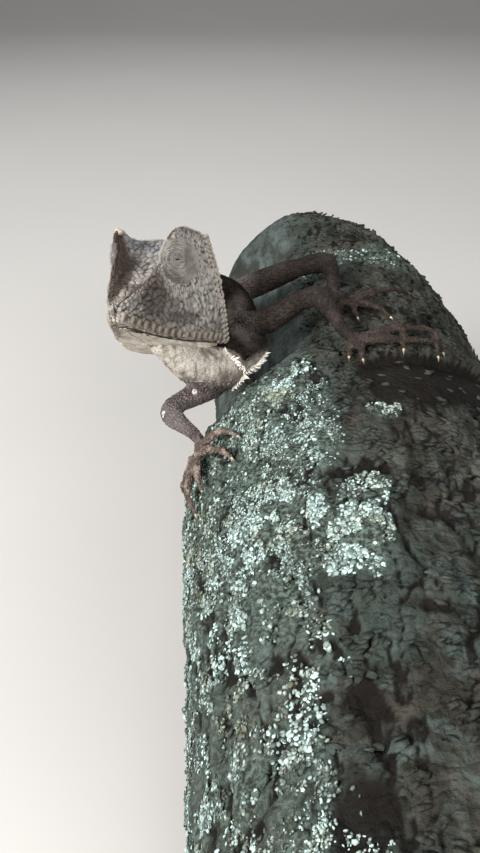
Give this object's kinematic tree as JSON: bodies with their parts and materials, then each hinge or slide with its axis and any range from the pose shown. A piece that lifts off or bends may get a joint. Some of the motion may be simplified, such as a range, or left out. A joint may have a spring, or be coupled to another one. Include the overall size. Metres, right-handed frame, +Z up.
{
  "type": "young casque-headed lizard on a perch",
  "caption": "Slim-limbed young lizard with raised brows and a flat casque, standing up on a cut length of bark-covered branch, on a plain display stand.",
  "frame": {"origin": "middle of the underside of the model's bounding box, on the surface the stand's base rests on", "axes": "+Z up, the branch's axis along Y, the lizard facing -Y, its tail trailing towards +Y"},
  "size_m": [0.0834, 0.2682, 0.107],
  "materials": {
    "head": "dry scaly hide, grey-beige",
    "pale": "dry scaly hide, cream",
    "neck": "dry scaly hide, dark brown",
    "trunk": "dry scaly hide, brown",
    "limb": "dry scaly hide, mauve-brown",
    "eye": "scaly lids nearly closed",
    "bark": "rough bark with pale blue-green lichen",
    "stand": "satin black"
  },
  "bodies": {
    "root": {"head": "head", "lower_jaw": "pale", "throat": "pale", "eye_left": "eye", "eye_right": "eye", "neck": "neck", "torso": "trunk", "tail_1": "trunk", "tail_2": "trunk", "tail_3": "trunk", "tail_4": "trunk", "upper_arm_left": "limb", "forearm_left": "limb", "hand_left": "limb", "upper_arm_right": "limb", "forearm_right": "limb", "hand_right": "limb", "thigh_left": "limb", "shank_left": "limb", "foot_left": "limb", "thigh_right": "limb", "shank_right": "limb", "foot_right": "limb", "branch": "bark", "stand_base": "stand", "stand_rod_front": "stand", "stand_rod_back": "stand"}
  },
  "joints": []
}
